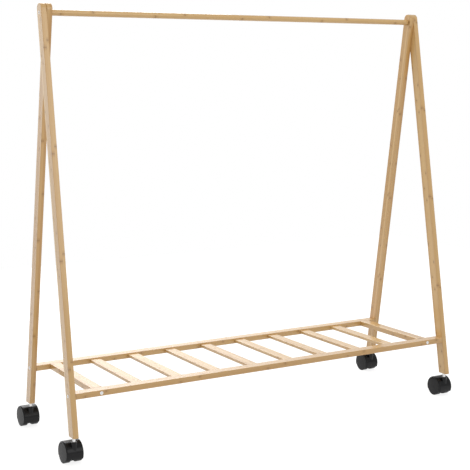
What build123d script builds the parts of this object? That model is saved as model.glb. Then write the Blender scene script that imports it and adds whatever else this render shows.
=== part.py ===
from build123d import *
import os
from math import atan2, cos, radians, sin

# Rolling clothes rack: two bamboo A-frames, a hanging rod, a slatted shelf and four twin-wheel casters.
# Millimetres, +Z up, +X along the rod, -Y to the front. The origin is on the floor, in the middle of the
# box round the rack with all four casters trailing to the rear.

os.makedirs("parts", exist_ok=True)

# ---- driving dimensions ------------------------------------------------------------------------------

# frame
TOTAL_HEIGHT = 1150.0        # floor to the rounded tops of the legs
FRAME_WIDTH = 1216.0         # over the outer faces of the outer legs
BAR_THICK = 15.0             # section of every bar but the slats
BAR_WIDE = 30.0
BAR_EDGE = 1.2               # softened long edges of the bars
PIVOT_Z = 1126.0             # bolt through both legs of a frame, and axis of the rod
FOOT_Z = 69.0                # level feet of the legs
FOOT_OUT = 172.0             # from the middle plane of the A-frames to the middle of a foot
ROD_D = 16.0
ROD_EDGE = 0.5

# shelf
SHELF_Z = 170.0              # mid height of the rails, crossbars and slats
CROSS_PITCH = 117.6          # from one cross piece to the next, end crossbars included
CROSS_SHIFT = 6.0            # the row of cross pieces sits this far to the right
SLAT_COUNT = 8
SLAT_THICK = 8.0
SLAT_WIDE = 30.0
SLAT_EDGE = 0.8
DOWEL_D = 5.0
DOWEL_LENGTH = 20.0          # half in the slat and half in the rail
DOWEL_SPACING = 16.0
DOWEL_SLACK = 0.5            # each dowel hole is this much deeper than the dowel goes

# bolts and inserts
BOLT_D = 6.0
BOLT_HEAD_D = 9.0
BOLT_HEAD_T = 3.0
BOLT_PROUD = 0.5             # the head stands out of its counterbore by this much
BOLT_ROOM = 0.25             # radial room round a bolt in the wood
HEX_KEY = 4.0                # socket in the bolt head, across flats
HEX_DEPTH = 1.8
INSERT_D = 8.0
INSERT_LENGTH = 18.0
SNUG = 0.05                  # radial room round a pressed, glued or threaded piece
PIVOT_BOLT_LENGTH = 44.0     # lengths under the head
RAIL_BOLT_LENGTH = 28.0
CROSSBAR_BOLT_LENGTH = 42.0

# casters
WHEEL_D = 50.0
WHEEL_WIDE = 16.5
WHEEL_DOME = 0.8             # the outer face of a wheel swells by this much
WHEEL_EDGE = 1.8
CASTER_WIDE = 47.4           # over the two wheels
TRAIL = 21.6                 # from the swivel axis back to the axle
AXLE_D = 6.0
AXLE_LENGTH = 40.0
AXLE_END_GAP = 0.4
RUNNING_FIT = 0.05           # radial room of a shaft in its bearing
HOOD_GAP = 1.4               # from the tread of a wheel to the inside of the hood
HOOD_R = 30.2                # outside of the hood, round a line a little before and above the axle
HOOD_FORWARD = 1.3
HOOD_RISE = 1.0
HOOD_WIDE = 46.6
HOOD_SHOULDER = 3.6          # rounding along both sides of the hood
HOOD_LIP = 24.0              # the hood ends this many degrees below the axle, in front and behind
WEB_THICK = 12.0             # wall between the wheels
AXLE_BOSS_D = 15.0
COLLAR_D = 16.0
COLLAR_TOP = 57.5
COLLAR_EDGE = 1.5
SOCKET_D = 13.0
SOCKET_FLOOR = 22.7
SOCKET_BASE = 16.0
STEM_D = 8.0
STEM_BOTTOM = 23.0
STEM_TOP = 88.0
STEM_EDGE = 0.45
STEM_FLANGE_D = 12.0
STEM_FLANGE_T = 1.5
BEAD_D = 9.0                 # band near the foot of the stem, snapped into a groove of the socket
BEAD_Z = 28.0
BEAD_T = 3.0
BEAD_GAP = 0.3
FOOT_INSERT_D = 10.0
FOOT_INSERT_LENGTH = 22.0
FOOT_FLANGE_D = 13.0
FOOT_FLANGE_T = 1.0

# ---- places that follow from them --------------------------------------------------------------------

lean = atan2(FOOT_OUT, PIVOT_Z - FOOT_Z)
foot_half_depth = BAR_WIDE / 2 / cos(lean)
top_radius = BAR_WIDE / 2
over_pivot = (TOTAL_HEIGHT - top_radius - PIVOT_Z) / cos(lean)

wheel_r = WHEEL_D / 2
hood_back = HOOD_R - HOOD_FORWARD
frame_y = -(TRAIL + hood_back - foot_half_depth) / 2    # middle plane of the A-frames

outer_leg_x = (FRAME_WIDTH - BAR_THICK) / 2
inner_leg_x = outer_leg_x - BAR_THICK
rail_out = FOOT_OUT * (PIVOT_Z - SHELF_Z) / (PIVOT_Z - FOOT_Z)
cross_length = 2 * rail_out - BAR_WIDE
cross_count = SLAT_COUNT + 2
cross_x = [CROSS_SHIFT + (k - (cross_count - 1) / 2) * CROSS_PITCH for k in range(cross_count)]
end_cross_x = (cross_x[0], cross_x[-1])
slat_x = cross_x[1:-1]

head_sink = BOLT_HEAD_T - BOLT_PROUD
bolt_hole_r = BOLT_D / 2 + BOLT_ROOM
head_hole_r = BOLT_HEAD_D / 2 + BOLT_ROOM
insert_hole_r = INSERT_D / 2 + SNUG
dowel_hole_r = DOWEL_D / 2 + SNUG

hood_inner_r = wheel_r + HOOD_GAP
lip = radians(HOOD_LIP)


def save(piece, name):
    """Labels a finished piece and writes its file."""
    piece.part.label = name
    export_step(piece.part, f"parts/{name}.step")


def facing(x, y, z, towards):
    """A plane at a point, with its normal along +X, -X, +Y or -Y and its own y axis upwards."""
    along_x, along_y = towards
    return Plane(origin=(x, y, z), x_dir=(-along_y, along_x, 0), z_dir=(along_x, along_y, 0))


# ---- legs --------------------------------------------------------------------------------------------
# Flat bars with a round top and a level foot. The outer pair has its feet in front and the inner pair has
# them behind, so the two legs of a frame cross side by side at the pivot bolt.


def make_leg(name, leg_x, foot_side):
    """foot_side is -1 for a leg whose foot is in front and 1 for one whose foot is behind."""
    outward = 1 if leg_x > 0 else -1
    along = Plane(
        origin=(leg_x, frame_y, PIVOT_Z),
        x_dir=(0, cos(lean), foot_side * sin(lean)),
        z_dir=(1, 0, 0),
    )
    face_x = leg_x + outward * BAR_THICK / 2
    rail_hole = facing(face_x, frame_y + foot_side * rail_out, SHELF_Z, (outward, 0))
    pivot_hole = facing(face_x, frame_y, PIVOT_Z, (outward, 0))
    with BuildPart() as leg:
        with BuildSketch(along):
            with Locations((0, over_pivot)):
                Circle(top_radius)
                Rectangle(BAR_WIDE, TOTAL_HEIGHT, align=(Align.CENTER, Align.MAX))
        extrude(amount=BAR_THICK / 2, both=True)
        split(bisect_by=Plane.XY.offset(FOOT_Z), keep=Keep.TOP)
        outline = leg.faces().filter_by(Axis.X).edges()
        fillet(outline.filter_by_position(Axis.Z, FOOT_Z + BAR_THICK, TOTAL_HEIGHT), radius=BAR_EDGE)
        with Locations(rail_hole):
            CounterBoreHole(bolt_hole_r, head_hole_r, head_sink, depth=BAR_THICK)
        with Locations(pivot_hole):
            if abs(leg_x) == outer_leg_x:
                CounterBoreHole(bolt_hole_r, head_hole_r, head_sink, depth=BAR_THICK)
            else:
                Hole(bolt_hole_r, depth=BAR_THICK)
        with BuildSketch(Plane((leg_x, frame_y + foot_side * FOOT_OUT, FOOT_Z))):
            Circle(FOOT_INSERT_D / 2 + SNUG)
        extrude(amount=FOOT_INSERT_LENGTH + SNUG, mode=Mode.SUBTRACT)
    save(leg, name)


make_leg("front_left_leg", -outer_leg_x, -1)
make_leg("front_right_leg", outer_leg_x, -1)
make_leg("rear_left_leg", -inner_leg_x, 1)
make_leg("rear_right_leg", inner_leg_x, 1)


# ---- hanging rod -------------------------------------------------------------------------------------
# A round rod between the inner faces of the inner legs, drilled at both ends for its inserts.

rod_half = inner_leg_x - BAR_THICK / 2
with BuildPart() as rod:
    with BuildSketch(Plane((0, frame_y, PIVOT_Z), x_dir=(0, 1, 0), z_dir=(1, 0, 0))):
        Circle(ROD_D / 2)
    extrude(amount=rod_half, both=True)
    fillet(rod.edges().filter_by(GeomType.CIRCLE), radius=ROD_EDGE)
    for end in (-1, 1):
        with Locations(facing(end * rod_half, frame_y, PIVOT_Z, (end, 0))):
            Hole(insert_hole_r, depth=INSERT_LENGTH)
save(rod, "hanging_rod")


# ---- rails -------------------------------------------------------------------------------------------
# The two long bars of the shelf, laid flat between the legs. Each takes an insert at both ends, the two
# crossbar bolts from its outer face, and the slat dowels in its inner face.


def make_rail(name, side, half_length):
    """side is -1 for the front rail and 1 for the rear one."""
    middle_y = frame_y + side * rail_out
    with BuildPart() as rail:
        with BuildSketch(Plane((0, middle_y, SHELF_Z), x_dir=(0, 1, 0), z_dir=(1, 0, 0))):
            Rectangle(BAR_WIDE, BAR_THICK)
        extrude(amount=half_length, both=True)
        fillet(rail.edges().filter_by(Axis.X), radius=BAR_EDGE)
        for end in (-1, 1):
            with Locations(facing(end * half_length, middle_y, SHELF_Z, (end, 0))):
                Hole(insert_hole_r, depth=INSERT_LENGTH)
        for x in end_cross_x:
            with Locations(facing(x, middle_y + side * BAR_WIDE / 2, SHELF_Z, (0, side))):
                CounterBoreHole(bolt_hole_r, head_hole_r, head_sink, depth=BAR_WIDE)
        for x in slat_x:
            with Locations(facing(x, middle_y - side * BAR_WIDE / 2, SHELF_Z, (0, -side))):
                with GridLocations(DOWEL_SPACING, 0, 2, 1):
                    Hole(dowel_hole_r, depth=DOWEL_LENGTH / 2 + DOWEL_SLACK)
    save(rail, name)


make_rail("front_rail", -1, outer_leg_x - BAR_THICK / 2)
make_rail("rear_rail", 1, inner_leg_x - BAR_THICK / 2)


# ---- crossbars and slats -----------------------------------------------------------------------------
# The end crossbars are full-height bars, flush with the rails. The eight slats between them are thinner and
# sit at mid height, so their tops are a little below the rails.


def make_cross_piece(x, wide, thick, edge):
    """A bar from rail to rail, with its ends still plain."""
    with BuildPart() as piece:
        with BuildSketch(Plane((x, frame_y, SHELF_Z), x_dir=(1, 0, 0), z_dir=(0, -1, 0))):
            Rectangle(wide, thick)
        extrude(amount=cross_length / 2, both=True)
        fillet(piece.edges().filter_by(Axis.Y), radius=edge)
    return piece


for name, x in zip(("left_crossbar", "right_crossbar"), end_cross_x):
    blank = make_cross_piece(x, BAR_WIDE, BAR_THICK, BAR_EDGE)
    with BuildPart() as crossbar:
        add(blank.part)
        for side in (-1, 1):
            with Locations(facing(x, frame_y + side * cross_length / 2, SHELF_Z, (0, side))):
                Hole(insert_hole_r, depth=INSERT_LENGTH)
    save(crossbar, name)

for k, x in enumerate(slat_x, start=1):
    blank = make_cross_piece(x, SLAT_WIDE, SLAT_THICK, SLAT_EDGE)
    with BuildPart() as slat:
        add(blank.part)
        for side in (-1, 1):
            with Locations(facing(x, frame_y + side * cross_length / 2, SHELF_Z, (0, side))):
                with GridLocations(DOWEL_SPACING, 0, 2, 1):
                    Hole(dowel_hole_r, depth=DOWEL_LENGTH / 2 + DOWEL_SLACK)
    save(slat, f"slat_{k}")

with BuildPart() as dowels:
    for side in (-1, 1):
        for x in slat_x:
            with BuildSketch(facing(x, frame_y + side * cross_length / 2, SHELF_Z, (0, side))):
                with GridLocations(DOWEL_SPACING, 0, 2, 1):
                    Circle(DOWEL_D / 2)
            extrude(amount=DOWEL_LENGTH / 2, both=True)
save(dowels, "slat_dowels")


# ---- bolts and their inserts -------------------------------------------------------------------------
# Round-headed bolts with a hexagon socket, sunk in counterbores. Each place is a plane on the outer face of
# the wood, facing out; the matching insert lies behind the face that the bolt crosses into.

pivot_places = [facing(s * (outer_leg_x + BAR_THICK / 2), frame_y, PIVOT_Z, (s, 0)) for s in (-1, 1)]
rod_ends = [facing(s * rod_half, frame_y, PIVOT_Z, (s, 0)) for s in (-1, 1)]
rail_places = [
    facing(s * (leg_x + BAR_THICK / 2), frame_y + side * rail_out, SHELF_Z, (s, 0))
    for side, leg_x in ((-1, outer_leg_x), (1, inner_leg_x))
    for s in (-1, 1)
]
rail_ends = [
    facing(s * (leg_x - BAR_THICK / 2), frame_y + side * rail_out, SHELF_Z, (s, 0))
    for side, leg_x in ((-1, outer_leg_x), (1, inner_leg_x))
    for s in (-1, 1)
]
crossbar_places = [
    facing(x, frame_y + side * (rail_out + BAR_WIDE / 2), SHELF_Z, (0, side))
    for side in (-1, 1)
    for x in end_cross_x
]
crossbar_ends = [
    facing(x, frame_y + side * cross_length / 2, SHELF_Z, (0, side)) for side in (-1, 1) for x in end_cross_x
]


def make_bolts(name, places, length):
    """One node of equal bolts; length is measured under the head."""
    with BuildPart() as bolts:
        for place in places:
            seat = place.offset(-head_sink)
            with BuildSketch(seat):
                Circle(BOLT_D / 2)
            extrude(amount=-length)
            with BuildSketch(seat):
                Circle(BOLT_HEAD_D / 2)
            extrude(amount=BOLT_HEAD_T)
            with BuildSketch(place.offset(BOLT_PROUD)):
                RegularPolygon(HEX_KEY / 2, 6, major_radius=False)
            extrude(amount=-HEX_DEPTH, mode=Mode.SUBTRACT)
    save(bolts, name)


def make_inserts(name, ends):
    """One node of equal threaded inserts, flush with the ends of the wood."""
    with BuildPart() as inserts:
        for end in ends:
            with BuildSketch(end):
                Circle(INSERT_D / 2)
                Circle(BOLT_D / 2 + SNUG, mode=Mode.SUBTRACT)
            extrude(amount=-INSERT_LENGTH)
    save(inserts, name)


make_bolts("left_pivot_bolt", pivot_places[:1], PIVOT_BOLT_LENGTH)
make_bolts("right_pivot_bolt", pivot_places[1:], PIVOT_BOLT_LENGTH)
make_bolts("rail_bolts", rail_places, RAIL_BOLT_LENGTH)
make_bolts("crossbar_bolts", crossbar_places, CROSSBAR_BOLT_LENGTH)
make_inserts("rod_inserts", rod_ends)
make_inserts("rail_inserts", rail_ends)
make_inserts("crossbar_inserts", crossbar_ends)


# ---- casters -----------------------------------------------------------------------------------------
# Twin-wheel casters. The stem screws into an insert in the foot of the leg and stays still. The hood turns
# on the stem, and carries the axle; each wheel turns on its own end of the axle, behind the stem.


def make_foot_insert(name, x, y):
    """Threaded insert in the foot of a leg, with a thin flange under the wood."""
    with BuildPart() as insert:
        with BuildSketch(Plane((x, y, FOOT_Z))):
            Circle(FOOT_INSERT_D / 2)
        extrude(amount=FOOT_INSERT_LENGTH)
        with BuildSketch(Plane((x, y, FOOT_Z))):
            Circle(FOOT_FLANGE_D / 2)
        extrude(amount=-FOOT_FLANGE_T)
        with Locations((x, y, FOOT_Z + FOOT_INSERT_LENGTH)):
            Hole(STEM_D / 2 + SNUG, depth=FOOT_INSERT_LENGTH + FOOT_FLANGE_T)
    save(insert, name)


def make_stem(name, x, y):
    """Plain pin with a band that snaps into the hood, and a flange under the insert."""
    with BuildPart() as stem:
        with BuildSketch(Plane((x, y, STEM_BOTTOM))):
            Circle(STEM_D / 2)
        extrude(amount=STEM_TOP - STEM_BOTTOM)
        chamfer(stem.edges().filter_by(GeomType.CIRCLE), length=STEM_EDGE)
        with BuildSketch(Plane((x, y, BEAD_Z))):
            Circle(BEAD_D / 2)
        extrude(amount=BEAD_T)
        with BuildSketch(Plane((x, y, FOOT_Z - FOOT_FLANGE_T))):
            Circle(STEM_FLANGE_D / 2)
        extrude(amount=-STEM_FLANGE_T)
    save(stem, name)


def make_hood(name, x, y):
    """Moulded drum with a web between the wheels, the axle's boss and the stem's socket."""
    across = Plane((x, y + TRAIL, wheel_r), x_dir=(0, 1, 0), z_dir=(1, 0, 0))
    with BuildPart() as hood:
        # solid drum round the axle, open below both lips, with rounded shoulders
        with BuildSketch(across):
            with Locations((-HOOD_FORWARD, HOOD_RISE)):
                Circle(HOOD_R)
            with BuildLine():
                Polyline(
                    (0, 0),
                    (WHEEL_D * cos(lip), -WHEEL_D * sin(lip)),
                    (0, -WHEEL_D),
                    (-WHEEL_D * cos(lip), -WHEEL_D * sin(lip)),
                    close=True,
                )
            make_face(mode=Mode.SUBTRACT)
        extrude(amount=HOOD_WIDE / 2, both=True)
        fillet(hood.edges().filter_by(GeomType.CIRCLE), radius=HOOD_SHOULDER)
        # collar round the stem
        with BuildSketch(Plane((x, y, wheel_r))):
            Circle(COLLAR_D / 2)
        extrude(amount=COLLAR_TOP - wheel_r)
        fillet(hood.faces().sort_by(Axis.Z)[-1].edges(), radius=COLLAR_EDGE)
        # room for the wheels on both sides of the web
        for side in (-1, 1):
            with BuildSketch(facing(x + side * WEB_THICK / 2, y + TRAIL, wheel_r, (side, 0))):
                Circle(hood_inner_r)
            extrude(amount=HOOD_WIDE, mode=Mode.SUBTRACT)
        # boss for the axle and socket for the stem
        with BuildSketch(across):
            Circle(AXLE_BOSS_D / 2)
        extrude(amount=WEB_THICK / 2, both=True)
        with BuildSketch(Plane((x, y, SOCKET_BASE))):
            Circle(SOCKET_D / 2)
        extrude(amount=COLLAR_TOP - COLLAR_EDGE - SOCKET_BASE)
        with BuildSketch(across):
            Circle(AXLE_D / 2 + SNUG)
        extrude(amount=WEB_THICK, both=True, mode=Mode.SUBTRACT)
        with BuildSketch(Plane((x, y, SOCKET_FLOOR))):
            Circle(STEM_D / 2 + RUNNING_FIT)
        extrude(amount=COLLAR_TOP, mode=Mode.SUBTRACT)
        with BuildSketch(Plane((x, y, BEAD_Z - BEAD_GAP))):
            Circle(BEAD_D / 2 + BEAD_GAP)
        extrude(amount=BEAD_T + 2 * BEAD_GAP, mode=Mode.SUBTRACT)
    save(hood, name)


def make_axle(name, x, y):
    """Plain steel pin through the web, with one wheel on each end."""
    with BuildPart() as axle:
        with BuildSketch(Plane((x, y + TRAIL, wheel_r), x_dir=(0, 1, 0), z_dir=(1, 0, 0))):
            Circle(AXLE_D / 2)
        extrude(amount=AXLE_LENGTH / 2, both=True)
    save(axle, name)


def make_wheel(name, x, y, side):
    """side is -1 for the left wheel and 1 for the right one."""
    axis_line = Axis((x, y + TRAIL, wheel_r), (1, 0, 0))
    inner = CASTER_WIDE / 2 - WHEEL_WIDE
    outer = CASTER_WIDE / 2
    bore_end = AXLE_LENGTH / 2 + AXLE_END_GAP
    bore_r = AXLE_D / 2 + RUNNING_FIT
    with BuildPart() as wheel:
        with BuildSketch(Plane((x, y + TRAIL, wheel_r), x_dir=(side, 0, 0), z_dir=(0, -side, 0))):
            with BuildLine():
                face = TangentArc((outer, 0), (outer - WHEEL_DOME, wheel_r), tangent=(0, 1))
                Polyline(
                    face @ 1,
                    (inner, wheel_r),
                    (inner, bore_r),
                    (bore_end, bore_r),
                    (bore_end, 0),
                    face @ 0,
                )
            make_face()
        revolve(axis=axis_line)
        rims = wheel.edges().filter_by(GeomType.CIRCLE).sort_by(SortBy.RADIUS)[-2:]
        fillet(rims, radius=WHEEL_EDGE)
    save(wheel, name)


caster_places = {
    "front_left": (-outer_leg_x, frame_y - FOOT_OUT),
    "front_right": (outer_leg_x, frame_y - FOOT_OUT),
    "rear_left": (-inner_leg_x, frame_y + FOOT_OUT),
    "rear_right": (inner_leg_x, frame_y + FOOT_OUT),
}

for corner, (x, y) in caster_places.items():
    make_foot_insert(f"{corner}_leg_insert", x, y)
    make_stem(f"{corner}_stem", x, y)
    make_hood(f"{corner}_hood", x, y)
    make_axle(f"{corner}_axle", x, y)
    make_wheel(f"{corner}_left_wheel", x, y, -1)
    make_wheel(f"{corner}_right_wheel", x, y, 1)
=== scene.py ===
from math import atan2, cos, pi, radians, sin

import bpy
from mathutils import Euler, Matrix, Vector


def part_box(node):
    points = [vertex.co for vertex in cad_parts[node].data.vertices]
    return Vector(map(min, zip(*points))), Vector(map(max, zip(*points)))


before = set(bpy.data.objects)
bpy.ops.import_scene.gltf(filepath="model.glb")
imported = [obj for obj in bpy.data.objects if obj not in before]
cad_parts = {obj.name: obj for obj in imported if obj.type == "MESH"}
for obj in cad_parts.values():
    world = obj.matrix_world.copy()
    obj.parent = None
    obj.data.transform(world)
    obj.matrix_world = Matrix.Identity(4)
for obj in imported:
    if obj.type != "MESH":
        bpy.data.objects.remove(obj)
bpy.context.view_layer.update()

# ---- legs --------------------------------------------------------------------------------------------
# Four flat bars of side-pressed bamboo: narrow strips glued on edge, planed to 15 x 30 mm, the long edges
# softened and the tops rounded, then lacquered. Each strip keeps its own tone, and a darker band wherever
# the cane had a joint. The outer and inner leg of a frame are held by the bolt near their tops.


class Wire:
    """A node's output that takes part in Python arithmetic: each operator adds one Math node."""

    def __init__(self, finish, socket):
        self.finish = finish
        self.socket = socket

    def math(self, operation, first, second=0.0):
        return self.finish.node("ShaderNodeMath", {"operation": operation}, {0: first, 1: second})

    def __add__(self, other):
        return self.math("ADD", self, other)

    def __radd__(self, other):
        return self.math("ADD", other, self)

    def __sub__(self, other):
        return self.math("SUBTRACT", self, other)

    def __rsub__(self, other):
        return self.math("SUBTRACT", other, self)

    def __mul__(self, other):
        return self.math("MULTIPLY", self, other)

    def __rmul__(self, other):
        return self.math("MULTIPLY", other, self)

    def __truediv__(self, other):
        return self.math("DIVIDE", self, other)

    def __rtruediv__(self, other):
        return self.math("DIVIDE", other, self)

    def __abs__(self):
        return self.math("ABSOLUTE", self)

    def whole(self):
        return self.math("FLOOR", self)

    def fraction(self):
        return self.math("FRACT", self)


class Finish:
    """One material: a Principled shader with its constants set, and the nodes that feed it."""

    def __init__(self, name, **constants):
        self.material = bpy.data.materials.new(name)
        self.material.use_nodes = True
        self.nodes = self.material.node_tree.nodes
        self.links = self.material.node_tree.links
        self.surface = self.nodes["Principled BSDF"]
        for socket, value in constants.items():
            self.surface.inputs[socket.replace("_", " ")].default_value = value

    def node(self, kind, settings=None, inputs=None, output=0):
        made = self.nodes.new(kind)
        for key, value in (settings or {}).items():
            setattr(made, key, value)
        for key, value in (inputs or {}).items():
            self.feed(made.inputs[key], value)
        return Wire(self, made.outputs[output])

    def feed(self, socket, value):
        if isinstance(value, Wire):
            self.links.new(value.socket, socket)
        else:
            socket.default_value = value

    def shade(self, **inputs):
        for socket, value in inputs.items():
            self.feed(self.surface.inputs[socket.replace("_", " ")], value)
        return self.material

    def range(self, value, low, high, to_low=0.0, to_high=1.0):
        """value carried smoothly from low..high to to_low..to_high, and held at both ends."""
        return self.node(
            "ShaderNodeMapRange",
            {"interpolation_type": "SMOOTHSTEP"},
            {"Value": value, "From Min": low, "From Max": high, "To Min": to_low, "To Max": to_high},
        )

    def blend(self, amount, first, second):
        """Two colours mixed."""
        return self.node(
            "ShaderNodeMix",
            {"data_type": "RGBA", "clamp_factor": True},
            {0: amount, 6: first, 7: second},
            output=2,
        )


BAR_WIDE = 0.030             # width of a leg's bar, planed
STRIP = 0.0058               # width of a bamboo strip
LAYER = 0.0076               # depth of a strip, so two layers make a bar's thickness
OTHER_LAYER = 17.0           # steps the random numbers from one layer to the next
OTHER_BAR = 31.0             # and from one bar to the next
OTHER_DRAW = 5.3             # a second random number for the same strip
FIBRES = (5.0, 900.0, 900.0)     # noise per metre, along the bar and across it
CLOUDS = (3.0, 60.0, 60.0)
JOINT_SPACING = 0.27         # from one cane joint to the next along a strip
WANDER = 0.004               # how far a joint's line strays with the fibres
LINE = (0.0005, 0.0022)      # where a joint's line begins and stops to fade, from its middle
HALO = (0.001, 0.011)
END_SHADOW_SPAN = (0.0022, 0.0004)  # the same for the painted shadow at a bar's end, from the end of the bar
PALE = (0.78, 0.52, 0.215, 1.0)
GOLDEN = (0.57, 0.315, 0.098, 1.0)
JOINT_BROWN = (0.34, 0.165, 0.05, 1.0)


def bamboo(name, turn, centre, tone=1.0, seed=0.0, half_length=1.0):
    """Laminated bamboo whose strips run along the bar; turn takes the bar's length to the pattern's X.
    A higher tone is darker, and seed shifts the pattern so that no two bars match. The last two
    millimetres before half_length are darker: a painted shadow where the bar's end butts against the
    next piece. A bar that gives no half_length keeps pale ends."""
    finish = Finish(name, Specular_IOR_Level=0.5, Coat_IOR=1.5, Coat_Roughness=0.16)
    along = Euler(turn).to_matrix() @ Vector(centre)
    place = finish.node("ShaderNodeTexCoord", output="Object")
    shift = Vector((seed, 0.0, 0.0)) - along
    laid = finish.node("ShaderNodeMapping", None, {"Vector": place, "Rotation": turn, "Location": shift})
    shifted = finish.node("ShaderNodeSeparateXYZ", None, {0: laid}, "X")
    length = shifted - seed
    width = finish.node("ShaderNodeSeparateXYZ", None, {0: laid}, "Y")
    depth = finish.node("ShaderNodeSeparateXYZ", None, {0: laid}, "Z")

    # one random number for each strip, and another for where its joints fall
    strip = (width / STRIP + 0.5).whole() + (depth / LAYER).whole() * OTHER_LAYER + seed * OTHER_BAR
    one_number = {"noise_dimensions": "1D"}
    own_tone = finish.node("ShaderNodeTexWhiteNoise", one_number, {"W": strip})
    own_shift = finish.node("ShaderNodeTexWhiteNoise", one_number, {"W": strip + OTHER_DRAW})

    # fibres: noise drawn out along the strip, fine across it
    stretched = finish.node("ShaderNodeVectorMath", {"operation": "MULTIPLY"}, {0: laid, 1: FIBRES})
    fibres = finish.node(
        "ShaderNodeTexNoise", None, {"Vector": stretched, "Scale": 1.0, "Detail": 3.0, "Roughness": 0.6}
    )
    broad = finish.node("ShaderNodeVectorMath", {"operation": "MULTIPLY"}, {0: laid, 1: CLOUDS})
    clouds = finish.node("ShaderNodeTexNoise", None, {"Vector": broad, "Scale": 1.0, "Detail": 2.0})

    # cane joints: a narrow brown line with a soft darker halo
    wander = (fibres - 0.5) * WANDER
    from_joint = abs(((shifted + wander) / JOINT_SPACING + own_shift).fraction() - 0.5) * JOINT_SPACING
    line = finish.range(from_joint, *LINE, 1.0, 0.0)
    halo = finish.range(from_joint, *HALO, 1.0, 0.0)

    mellow = (own_tone * 0.7 + clouds * 0.3 + (fibres - 0.5) * 0.5) * tone
    wood = finish.blend(mellow, PALE, GOLDEN)
    wood = finish.blend(halo * 0.35, wood, JOINT_BROWN)
    wood = finish.blend(line * 0.6, wood, JOINT_BROWN)
    # painted shadow: the bar darkens over its last two millimetres, where its end butts against the next
    # piece
    painted_end_shadow = finish.range(abs(length), half_length - END_SHADOW_SPAN[0], half_length - END_SHADOW_SPAN[1])
    wood = finish.blend(painted_end_shadow * 0.75, wood, JOINT_BROWN)
    relief = finish.node(
        "ShaderNodeBump", None, {"Height": fibres - line * 0.6, "Strength": 0.12, "Distance": 0.0004}
    )
    roughness = 0.36 + fibres * 0.12 + halo * 0.06
    return finish.shade(Base_Color=wood, Roughness=roughness, Coat_Weight=0.95 - halo * 0.15, Normal=relief)


def dress(node, material):
    """Gives a CAD node its material."""
    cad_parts[node].material_slots[0].material = material


def middle(node):
    low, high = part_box(node)
    return (Vector(low) + Vector(high)) / 2


def half_side(node, axis):
    low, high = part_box(node)
    return (high[axis] - low[axis]) / 2


LEG_TONES = {"front_left_leg": 0.95, "front_right_leg": 1.0, "rear_left_leg": 1.3, "rear_right_leg": 1.1}
LEG_SEED = 0.37              # from one leg to the next

for k, (leg, tone) in enumerate(LEG_TONES.items()):
    foot_in_front = leg.startswith("front")
    low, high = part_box(leg)
    # the box is one bar's width deeper than the leg's middle line, which ends half a width below its top
    lean = atan2(high[1] - low[1] - BAR_WIDE, high[2] - low[2] - BAR_WIDE / 2)
    turn = (lean if foot_in_front else -lean, pi / 2, 0.0)
    dress(leg, bamboo(f"bamboo_{leg}", turn, middle(leg), tone, seed=LEG_SEED * (k + 1)))

# ---- hanging rod -------------------------------------------------------------------------------------
# A 16 mm rod turned from the same laminated bamboo, bolted between the inner legs through both ends.

ALONG_X = (0.0, 0.0, 0.0)    # turns that lay a bar's length along the pattern
ALONG_Y = (0.0, 0.0, -pi / 2)
ROD_TONE = 2.1
ROD_SEED = 2.9

rod_half = half_side("hanging_rod", 0)
dress("hanging_rod", bamboo("bamboo_rod", ALONG_X, middle("hanging_rod"), ROD_TONE, ROD_SEED, rod_half))

# ---- rails of the shelf ------------------------------------------------------------------------------
# Two long bars laid flat between the legs, cut from the same laminated bamboo. Bolts through the legs hold
# their ends.

RAIL_LOOKS = {"front_rail": (1.15, 3.6), "rear_rail": (1.0, 4.4)}    # tone and seed

for rail, (tone, seed) in RAIL_LOOKS.items():
    rail_half = half_side(rail, 0)
    dress(rail, bamboo(f"bamboo_{rail}", ALONG_X, middle(rail), tone, seed, rail_half))

# ---- crossbars and slats -----------------------------------------------------------------------------
# Two full-height crossbars bolted between the rails, and eight thinner slats dowelled between the rails a
# little lower. Each is its own piece of laminated bamboo, with the strips running from rail to rail.

SLAT_TONES = (0.85, 1.0, 0.8, 1.05, 0.9, 1.1, 0.95, 0.85)
FIRST_CROSS_SEED = 5.0
CROSS_SEED = 0.41            # from one cross piece to the next

cross_pieces = {"left_crossbar": 0.95, "right_crossbar": 1.05}
cross_pieces.update({f"slat_{k}": tone for k, tone in enumerate(SLAT_TONES, start=1)})
for k, (piece, tone) in enumerate(cross_pieces.items()):
    seed = FIRST_CROSS_SEED + CROSS_SEED * k
    dress(piece, bamboo(f"bamboo_{piece}", ALONG_Y, middle(piece), tone, seed, half_side(piece, 1)))

BEECH = (0.62, 0.42, 0.24, 1.0)
BEECH_FLECK = (0.45, 0.27, 0.13, 1.0)
FLECKS = (700.0, 60.0, 700.0)    # noise per metre; the dowels lie along Y


def plain_wood(name):
    """Turned beech, with short flecks, for the dowels inside the joints."""
    finish = Finish(name, Specular_IOR_Level=0.4)
    place = finish.node("ShaderNodeTexCoord", output="Object")
    drawn = finish.node("ShaderNodeVectorMath", {"operation": "MULTIPLY"}, {0: place, 1: FLECKS})
    flecks = finish.node("ShaderNodeTexNoise", None, {"Vector": drawn, "Scale": 1.0, "Detail": 2.0})
    wood = finish.blend(flecks, BEECH, BEECH_FLECK)
    return finish.shade(Base_Color=wood, Roughness=0.6 + flecks * 0.15)


dress("slat_dowels", plain_wood("beech_dowel"))

# ---- bolts and inserts -------------------------------------------------------------------------------
# Zinc-plated bolts with a hexagon socket, their heads let into the outer faces of the wood almost flush,
# and the threaded inserts that they screw into. The plating is bright, with a slight spangle and a thin
# cloudy film.

SPANGLE = 900.0              # noise per metre
FILM = 160.0
DULLED = 0.86                # how bright the spangle leaves the plating


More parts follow.
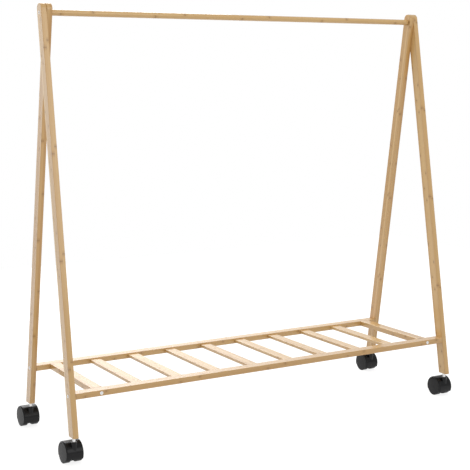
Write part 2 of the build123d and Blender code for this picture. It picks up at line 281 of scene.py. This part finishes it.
def zinc(name, tint, low, high, shine=1.0):
    """Plated steel whose roughness wanders between low and high; less shine leaves it whiter."""
    finish = Finish(name, Metallic=shine)
    place = finish.node("ShaderNodeTexCoord", output="Object")
    spangle = finish.node("ShaderNodeTexNoise", None, {"Vector": place, "Scale": SPANGLE, "Detail": 3.0})
    film = finish.node("ShaderNodeTexNoise", None, {"Vector": place, "Scale": FILM, "Detail": 1.0})
    dull = tuple(DULLED * c for c in tint)
    colour = finish.blend(spangle * 0.6 + film * 0.4, (*tint, 1.0), (*dull, 1.0))
    relief = finish.node("ShaderNodeBump", None, {"Height": spangle, "Strength": 0.08, "Distance": 0.0002})
    return finish.shade(Base_Color=colour, Roughness=low + film * (high - low), Normal=relief)


WHITENED = 0.6               # shine of the plating that shows

bolt_finish = zinc("zinc_bolts", (0.94, 0.94, 0.93), 0.3, 0.45, shine=WHITENED)
insert_finish = zinc("zinc_inserts", (0.74, 0.73, 0.70), 0.32, 0.48)
for bolts in ("left_pivot_bolt", "right_pivot_bolt", "rail_bolts", "crossbar_bolts"):
    dress(bolts, bolt_finish)
for inserts in ("rod_inserts", "rail_inserts", "crossbar_inserts"):
    dress(inserts, insert_finish)

# ---- casters -----------------------------------------------------------------------------------------
# Twin-wheel furniture casters: a moulded black hood that turns on a bright plated stem, two black nylon
# wheels on a steel axle, and a plated insert that takes the stem's thread in the foot of the leg.

NYLON = (0.0035, 0.0035, 0.004)
PORES = 2600.0               # noise per metre
FLOW = 45.0
PALER = 1.7                  # how much lighter the cloudy places are


def moulded(name, colour, roughness, grain):
    """Black nylon as it leaves the mould: a fine even grain, with slightly cloudy gloss."""
    finish = Finish(name, Specular_IOR_Level=0.25)
    place = finish.node("ShaderNodeTexCoord", output="Object")
    pores = finish.node("ShaderNodeTexNoise", None, {"Vector": place, "Scale": PORES, "Detail": 2.0})
    flow = finish.node("ShaderNodeTexNoise", None, {"Vector": place, "Scale": FLOW, "Detail": 2.0})
    cloudy = tuple(PALER * c for c in colour)
    tone = finish.blend(flow * 0.6 + pores * 0.2, (*colour, 1.0), (*cloudy, 1.0))
    relief = finish.node("ShaderNodeBump", None, {"Height": pores, "Strength": grain, "Distance": 0.0001})
    return finish.shade(Base_Color=tone, Roughness=roughness + flow * 0.1 + pores * 0.05, Normal=relief)


hood_finish = moulded("black_hood", NYLON, 0.16, 0.12)
wheel_finish = moulded("black_wheel", NYLON, 0.36, 0.2)
stem_finish = zinc("bright_stem", (0.95, 0.95, 0.95), 0.3, 0.4, shine=WHITENED)
axle_finish = zinc("ground_axle", (0.62, 0.62, 0.62), 0.2, 0.3)

for corner in ("front_left", "front_right", "rear_left", "rear_right"):
    dress(f"{corner}_hood", hood_finish)
    dress(f"{corner}_axle", axle_finish)
    dress(f"{corner}_stem", stem_finish)
    dress(f"{corner}_leg_insert", insert_finish)
    for side in ("left", "right"):
        dress(f"{corner}_{side}_wheel", wheel_finish)

# ---- floor -------------------------------------------------------------------------------------------
# A plain pale studio floor. It is seen, and shines in the lacquer, as clean white paper, but gives back
# little soft light, so that undersides stay darker than tops.

FLOOR_HALF = 2.6
DIM = (0.32, 0.32, 0.32, 1.0)        # the paper, as soft light sees it
SHADED = (0.3, 0.3, 0.3, 1.0)        # the part of the seen paper that takes shadows
GLOW = 0.85                          # and the part that does not
WHITE = (1.0, 1.0, 1.0, 1.0)

floor_mesh = bpy.data.meshes.new("floor")
corners = [(x * FLOOR_HALF, y * FLOOR_HALF, 0) for x, y in ((-1, -1), (1, -1), (1, 1), (-1, 1))]
floor_mesh.from_pydata(corners, [], [(0, 1, 2, 3)])
floor = bpy.data.objects.new("floor", floor_mesh)
bpy.context.scene.collection.objects.link(floor)

paper = Finish("white_paper", Base_Color=DIM, Roughness=1.0, Specular_IOR_Level=0.0)
glow = paper.node("ShaderNodeEmission", None, {"Color": WHITE, "Strength": GLOW})
matt = paper.node("ShaderNodeBsdfDiffuse", None, {"Color": SHADED})
seen = paper.node("ShaderNodeAddShader", None, {0: glow, 1: matt})
bounced = paper.node("ShaderNodeLightPath", output="Is Diffuse Ray")
body = Wire(paper, paper.surface.outputs[0])
mixed = paper.node("ShaderNodeMixShader", None, {0: bounced, 1: seen, 2: body})
paper.links.new(mixed.socket, paper.nodes["Material Output"].inputs["Surface"])
floor_mesh.materials.append(paper.material)

# ---- light -------------------------------------------------------------------------------------------
# A pale room round the rack, with a brighter white wall straight behind it, a broad weak lamp in front,
# and a soft one behind and above, aimed down at the shelf. The surround is seen as plain white.

ROOM = 0.72
WALL = 0.85                  # how much brighter the middle of the wall is
WALL_EDGE = 0.74             # where the wall begins, as the cosine from its middle
WALL_TOWARDS = Vector((0.0, 0.96, 0.28)).normalized()

world = bpy.data.worlds.new("white_studio")
world.use_nodes = True
bpy.context.scene.world = world
bpy.context.scene.view_settings.view_transform = "Standard"


class Surround(Finish):
    """The world's own nodes, written in the same way as a material's."""

    def __init__(self, world):
        self.nodes = world.node_tree.nodes
        self.links = world.node_tree.links
        self.lit = self.nodes["Background"]


surround = Surround(world)
towards = surround.node("ShaderNodeTexCoord", output="Generated")
facing_wall = surround.node(
    "ShaderNodeVectorMath", {"operation": "DOT_PRODUCT"}, {0: towards, 1: WALL_TOWARDS}, output="Value"
)
surround.feed(surround.lit.inputs["Strength"], ROOM + surround.range(facing_wall, WALL_EDGE, 1.0) * WALL)
white = surround.node("ShaderNodeBackground", None, {"Color": WHITE, "Strength": 1.0})
surround.feed(surround.lit.inputs["Color"], WHITE)
straight = surround.node("ShaderNodeLightPath", output="Is Camera Ray")
both = surround.node(
    "ShaderNodeMixShader", None, {0: straight, 1: Wire(surround, surround.lit.outputs[0]), 2: white}
)
surround.links.new(both.socket, surround.nodes["World Output"].inputs["Surface"])

SOFT_LIGHTS = {              # place, aim, width and watts
    "key": ((0.8, -4.6, 2.2), (0.0, 0.0, 0.6), 2.6, 32.0),
    "top": ((0.3, 1.9, 1.9), (0.0, 0.0, 0.1), 1.6, 30.0),
}
for name, (place, aim, width, power) in SOFT_LIGHTS.items():
    lamp = bpy.data.lights.new(name, "AREA")
    lamp.shape = "SQUARE"
    lamp.size = width
    lamp.energy = power
    light = bpy.data.objects.new(name, lamp)
    light.location = place
    light.rotation_euler = (Vector(aim) - Vector(place)).to_track_quat("-Z", "Y").to_euler()
    bpy.context.scene.collection.objects.link(light)

# ---- camera ------------------------------------------------------------------------------------------
# A long lens about a metre up, in front of the rack and to its left, looking slightly down, with a small
# downward shift of the film.

CAMERA_AT = Vector((-1.6677, -2.7866, 0.9768))
TURNED = radians(-30.57)
RAISED = radians(5.42)
LENS = 87.62
FILM_SHIFT = -0.117          # in widths of the picture

camera_data = bpy.data.cameras.new("camera")
camera_data.lens = LENS
camera_data.shift_y = FILM_SHIFT
camera = bpy.data.objects.new("camera", camera_data)
back = Vector((sin(TURNED) * cos(RAISED), -cos(TURNED) * cos(RAISED), sin(RAISED)))
camera.location = CAMERA_AT
camera.rotation_euler = (-back).to_track_quat("-Z", "Y").to_euler()
bpy.context.scene.collection.objects.link(camera)
bpy.context.scene.camera = camera
